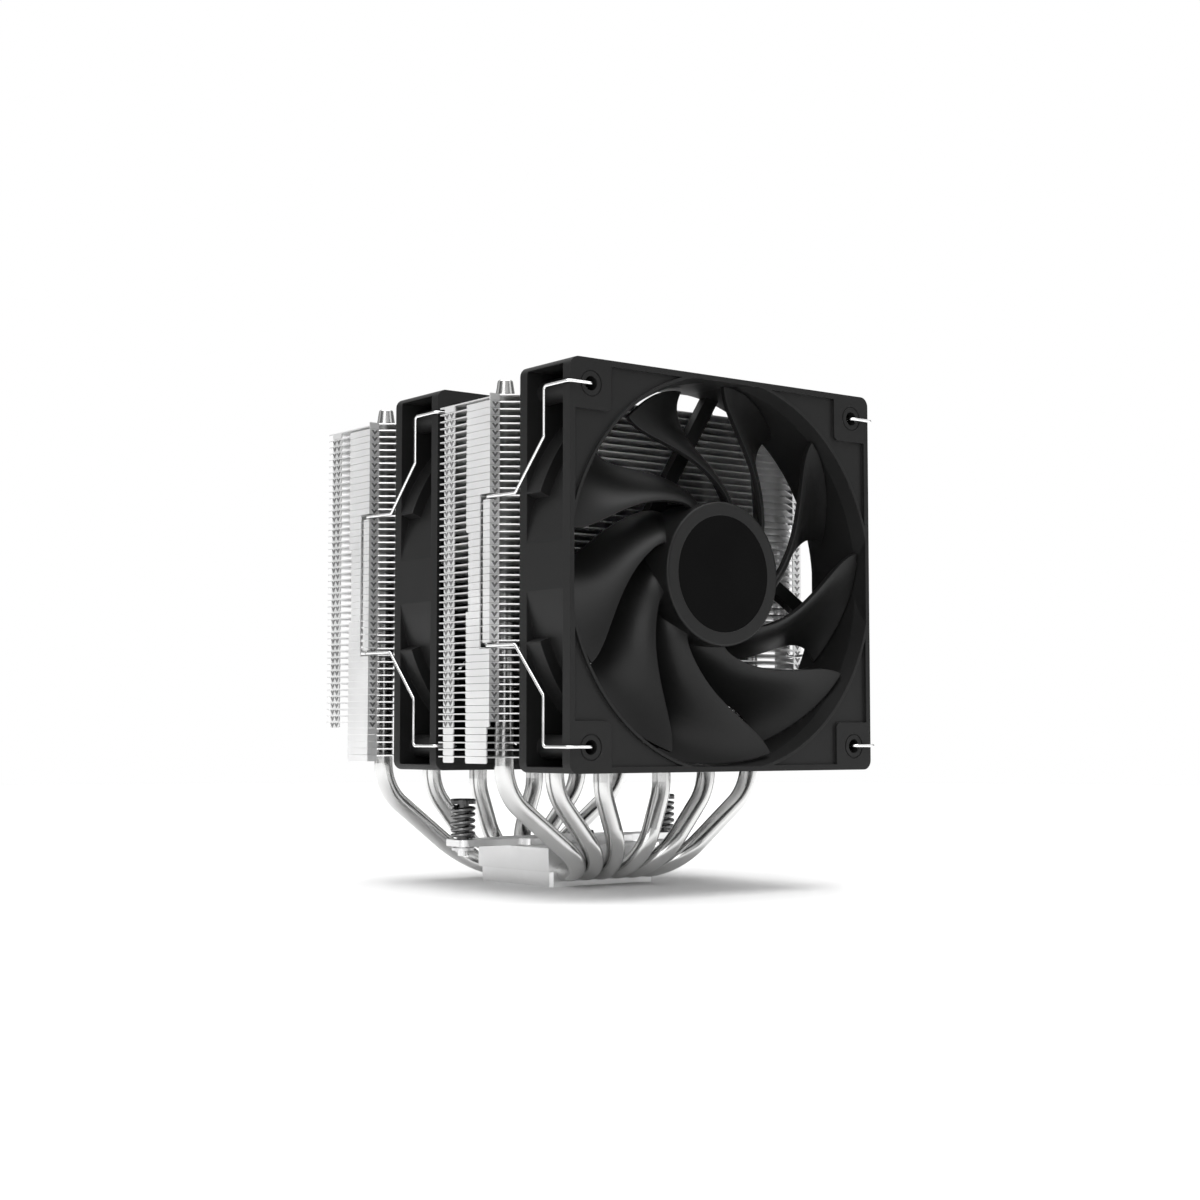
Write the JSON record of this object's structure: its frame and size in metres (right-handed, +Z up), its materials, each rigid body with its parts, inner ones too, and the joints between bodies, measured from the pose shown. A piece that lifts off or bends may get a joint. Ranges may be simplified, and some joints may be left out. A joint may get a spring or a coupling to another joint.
{
  "type": "cpu tower cooler",
  "caption": "Dual-tower processor cooler: plated fin stacks on bent heat pipes over a clamped base, with black axial fans held by spring-wire clips and sprung mounting screws.",
  "frame": {"origin": "centre of the base's flat contact face, on the processor", "axes": "+Z up, away from the processor; -Y towards the front fan, the side where air goes in; +X to the right seen from that side"},
  "size_m": [0.127, 0.1398, 0.158],
  "materials": {
    "fin": "bright nickel-plated sheet",
    "pipe": "satin nickel plating",
    "base_plate": "satin nickel plating",
    "cover": "satin milled",
    "bar": "satin nickel plating",
    "bar_screw": "black oxide",
    "spring_screw": "black nickel, glossy",
    "spring": "black nickel, glossy",
    "retaining_clip": "bright zinc",
    "fan_frame": "fine matt texture",
    "fan_rotor": "smooth satin",
    "hub_label": "glossy",
    "shaft": "ground",
    "retaining_ring": "natural nylon",
    "yoke": "zinc plated",
    "magnet": "bonded ferrite",
    "bearing": "oiled sintered bronze",
    "core": "silicon steel laminations",
    "coil": "enamelled copper wire",
    "board": "solder mask",
    "clip": "bright spring steel"
  },
  "bodies": {
    "heatsink": {"base_plate": "base_plate", "base_cover": "cover", "mounting_bar": "bar", "bar_screws": "bar_screw", "heat_pipe_1": "pipe", "heat_pipe_2": "pipe", "heat_pipe_3": "pipe", "heat_pipe_4": "pipe", "heat_pipe_5": "pipe", "heat_pipe_6": "pipe", "front_fins": "fin", "front_lower_fins": "fin", "rear_fins": "fin", "rear_lower_fins": "fin", "left_screw_spring": "spring", "right_screw_spring": "spring", "front_fan_frame": "fan_frame", "front_sleeve_bearing": "bearing", "front_stator_core": "core", "front_stator_coils": "coil", "front_circuit_board": "board", "middle_fan_frame": "fan_frame", "middle_sleeve_bearing": "bearing", "middle_stator_core": "core", "middle_stator_coils": "coil", "middle_circuit_board": "board"},
    "front_rotor": {"front_fan_rotor": "fan_rotor", "front_hub_label": "hub_label", "front_rotor_shaft": "shaft", "front_retaining_ring": "retaining_ring", "front_rotor_yoke": "yoke", "front_magnet_ring": "magnet"},
    "front_left_clip": {"front_left_fan_clip": "clip"},
    "front_right_clip": {"front_right_fan_clip": "clip"},
    "middle_rotor": {"middle_fan_rotor": "fan_rotor", "middle_hub_label": "hub_label", "middle_rotor_shaft": "shaft", "middle_retaining_ring": "retaining_ring", "middle_rotor_yoke": "yoke", "middle_magnet_ring": "magnet"},
    "middle_left_clip": {"middle_left_fan_clip": "clip"},
    "middle_right_clip": {"middle_right_fan_clip": "clip"},
    "left_plunger": {"left_retaining_clip": "retaining_clip"},
    "left_screw": {"left_spring_screw": "spring_screw"},
    "right_plunger": {"right_retaining_clip": "retaining_clip"},
    "right_screw": {"right_spring_screw": "spring_screw"}
  },
  "joints": [
    {"name": "front_fan_spin", "type": "hinge", "parent": "heatsink", "child": "front_rotor", "pos_m": [0, -0.0825, 0.0975], "axis": [0, -1, 0], "continuous": true},
    {"name": "front_left_clip_swing", "type": "hinge", "parent": "heatsink", "child": "front_left_clip", "pos_m": [-0.0525, -0.0832, 0.0975], "axis": [0, 0, 1], "range_deg": [0, 18], "stiffness_Nm_per_rad": 0.05},
    {"name": "front_right_clip_swing", "type": "hinge", "parent": "heatsink", "child": "front_right_clip", "pos_m": [0.0525, -0.0832, 0.0975], "axis": [0, 0, -1], "range_deg": [0, 18], "stiffness_Nm_per_rad": 0.05},
    {"name": "middle_fan_spin", "type": "hinge", "parent": "heatsink", "child": "middle_rotor", "pos_m": [0, -0.0125, 0.0975], "axis": [0, -1, 0], "continuous": true},
    {"name": "middle_left_clip_swing", "type": "hinge", "parent": "heatsink", "child": "middle_left_clip", "pos_m": [-0.0525, -0.0132, 0.0975], "axis": [0, 0, 1], "range_deg": [0, 18], "stiffness_Nm_per_rad": 0.05},
    {"name": "middle_right_clip_swing", "type": "hinge", "parent": "heatsink", "child": "middle_right_clip", "pos_m": [0.0525, -0.0132, 0.0975], "axis": [0, 0, -1], "range_deg": [0, 18], "stiffness_Nm_per_rad": 0.05},
    {"name": "left_screw_press", "type": "slide", "parent": "heatsink", "child": "left_plunger", "axis": [0, 0, -1], "range_m": [0, 0.004], "stiffness_N_per_m": 100, "springref_m": -0.003, "deforming": ["left_screw_spring"]},
    {"name": "left_screw_turn", "type": "hinge", "parent": "left_plunger", "child": "left_screw", "pos_m": [-0.0415, 0, 0.02], "axis": [0, 0, 1], "continuous": true},
    {"name": "right_screw_press", "type": "slide", "parent": "heatsink", "child": "right_plunger", "axis": [0, 0, -1], "range_m": [0, 0.004], "stiffness_N_per_m": 100, "springref_m": -0.003, "deforming": ["right_screw_spring"]},
    {"name": "right_screw_turn", "type": "hinge", "parent": "right_plunger", "child": "right_screw", "pos_m": [0.0415, 0, 0.02], "axis": [0, 0, 1], "continuous": true}
  ]
}
